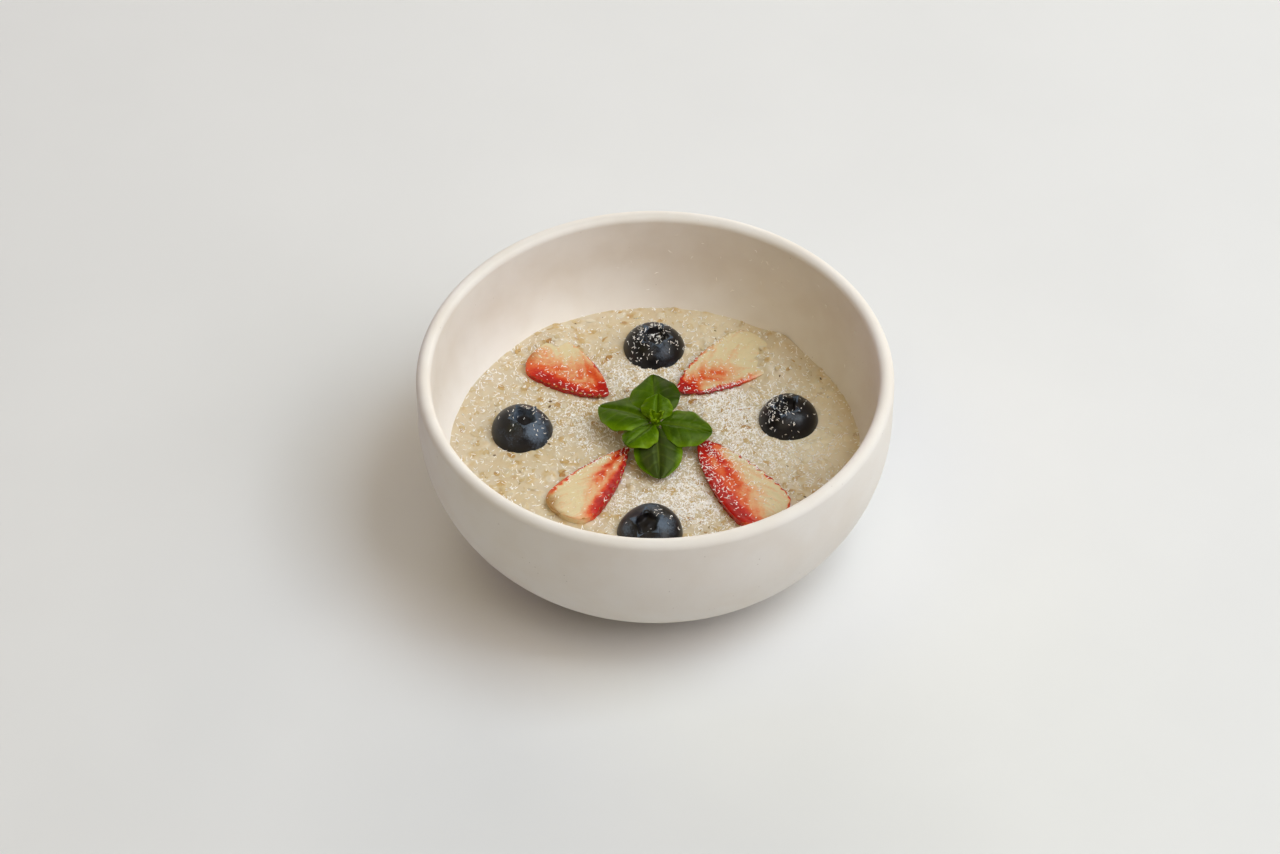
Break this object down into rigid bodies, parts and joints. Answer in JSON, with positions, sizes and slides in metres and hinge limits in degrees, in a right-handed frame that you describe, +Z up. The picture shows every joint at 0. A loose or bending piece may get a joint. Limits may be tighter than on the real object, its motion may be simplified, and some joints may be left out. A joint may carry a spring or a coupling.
{
  "type": "bowl of porridge",
  "caption": "Matte off-white stoneware bowl of oat porridge topped with blueberries, halved strawberries, a basil sprig and grated coconut.",
  "frame": {"origin": "centre of the foot ring on the surface the bowl stands on", "axes": "+Z up along the bowl's axis of turning; +Y from the front blueberry towards the back one"},
  "size_m": [0.13, 0.13, 0.0535],
  "materials": {
    "stoneware": "matte off-white glaze with fine specks",
    "oats": "moist set oat porridge",
    "berry_skin": "dark blue skin with pale bloom",
    "red_flesh": "moist cut fruit with red skin",
    "leaf_green": "smooth green leaf",
    "coconut": "dry grated coconut"
  },
  "bodies": {
    "root": {"bowl": "stoneware", "porridge": "oats", "blueberry_back": "berry_skin", "blueberry_left": "berry_skin", "blueberry_right": "berry_skin", "blueberry_front": "berry_skin", "strawberry_back_left": "red_flesh", "strawberry_back_right": "red_flesh", "strawberry_front_left": "red_flesh", "strawberry_front_right": "red_flesh", "basil_sprig": "leaf_green"}
  },
  "joints": []
}
